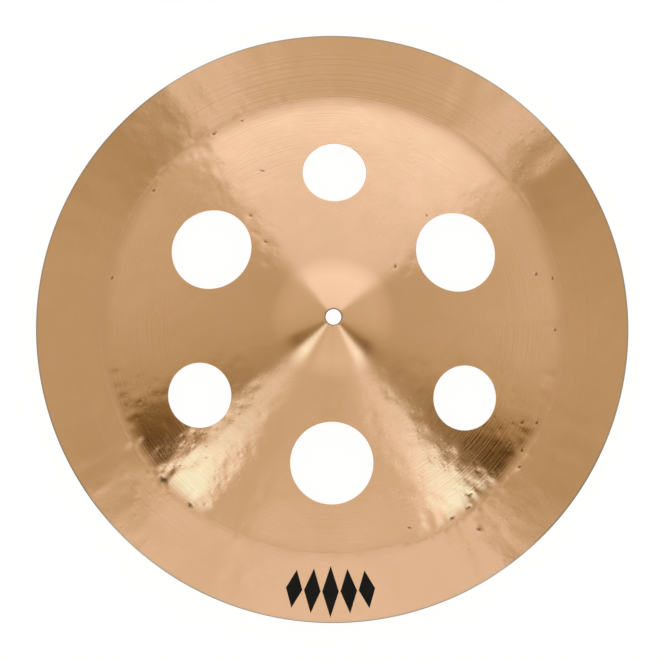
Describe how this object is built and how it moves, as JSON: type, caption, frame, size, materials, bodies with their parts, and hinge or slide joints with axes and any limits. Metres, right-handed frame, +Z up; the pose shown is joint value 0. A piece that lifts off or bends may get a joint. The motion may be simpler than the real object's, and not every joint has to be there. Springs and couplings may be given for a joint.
{
  "type": "china cymbal",
  "caption": "China cymbal of hammered bronze: a low bell, a sloping bow pierced by round holes of two sizes, a crease and an upturned flange.",
  "frame": {"origin": "on the axis of the stand hole, at the height of the flat ring under the crease, which the cymbal lies on", "axes": "+Z up along the axis, out of the top of the bell; +Y towards the small hole that is at the top of the picture; +X to the right of the picture"},
  "size_m": [0.4572, 0.4572, 0.0361],
  "materials": {
    "bronze": "turned, hammered and brilliant polished",
    "ink": "matt printed ink"
  },
  "bodies": {
    "root": {"cymbal": "bronze"}
  },
  "joints": []
}
